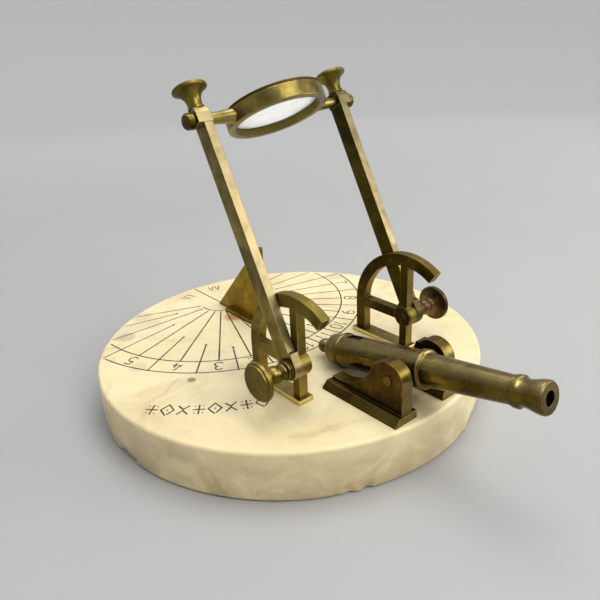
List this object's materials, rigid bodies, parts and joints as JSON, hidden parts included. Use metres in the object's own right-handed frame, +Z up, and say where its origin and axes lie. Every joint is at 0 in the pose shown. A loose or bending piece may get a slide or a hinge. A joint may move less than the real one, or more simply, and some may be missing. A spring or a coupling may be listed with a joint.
{
  "type": "noon cannon sundial",
  "caption": "Desk sundial on a round marble slab, with a gnomon, a burning lens on two hinged arms and a small brass cannon that fires at noon.",
  "frame": {"origin": "middle of the marble slab's underside, where it rests", "axes": "+X along the noon line towards the muzzle, +Y towards the far frame, +Z up"},
  "size_m": [0.2978, 0.24, 0.1909],
  "materials": {
    "marble": null,
    "brass": "aged brass, olive brown with worn golden edges",
    "bright_brass": "polished brass",
    "dark_brass": "dark aged brass",
    "lens_glass": "clear ground glass"
  },
  "bodies": {
    "dial": {"base_disc": "marble", "frame_studs": "dark_brass", "gnomon_studs": "dark_brass", "stud_washers": "dark_brass", "stud_nuts": "dark_brass", "near_quadrant": "brass", "far_quadrant": "brass", "near_quadrant_plate": "bright_brass", "far_quadrant_plate": "bright_brass", "gnomon": "brass", "near_cheek": "brass", "far_cheek": "brass"},
    "arms": {"near_arm": "brass", "far_arm": "brass", "clamp_washers": "dark_brass"},
    "lens": {"lens_ring": "brass", "lens_glass": "lens_glass", "lens_retainer": "dark_brass", "near_trunnion": "bright_brass", "far_trunnion": "bright_brass", "trunnion_caps": "dark_brass"},
    "cannon": {"barrel": "brass", "breech_plug": "brass"},
    "near_clamp": {"near_clamp_screw": "brass"},
    "far_clamp": {"far_clamp_screw": "brass"},
    "near_lens_clamp": {"near_lens_screw": "brass"},
    "far_lens_clamp": {"far_lens_screw": "brass"}
  },
  "joints": [
    {"name": "arm_swing", "type": "hinge", "parent": "dial", "child": "arms", "pos_m": [0.062, 0, 0.0515], "axis": [0, 1, 0], "range_deg": [-47, 57]},
    {"name": "lens_tilt", "type": "hinge", "parent": "arms", "child": "lens", "pos_m": [-0.00055, 0, 0.17114], "axis": [0, 1, 0], "range_deg": [-60, 60]},
    {"name": "cannon_elevation", "type": "hinge", "parent": "dial", "child": "cannon", "pos_m": [0.1038, 0, 0.05], "axis": [0, -1, 0], "range_deg": [-36, 0]},
    {"name": "near_clamp_turn", "type": "hinge", "parent": "dial", "child": "near_clamp", "pos_m": [0.062, -0.045, 0.0515], "axis": [0, -1, 0], "range_deg": [0, 360]},
    {"name": "far_clamp_turn", "type": "hinge", "parent": "dial", "child": "far_clamp", "pos_m": [0.062, 0.045, 0.0515], "axis": [0, 1, 0], "range_deg": [0, 360]},
    {"name": "near_lens_clamp_turn", "type": "hinge", "parent": "arms", "child": "near_lens_clamp", "pos_m": [-0.00055, -0.0488, 0.17114], "axis": [-0.4633, 0, 0.8862], "range_deg": [0, 360]},
    {"name": "far_lens_clamp_turn", "type": "hinge", "parent": "arms", "child": "far_lens_clamp", "pos_m": [-0.00055, 0.0488, 0.17114], "axis": [-0.4633, 0, 0.8862], "range_deg": [0, 360]}
  ]
}
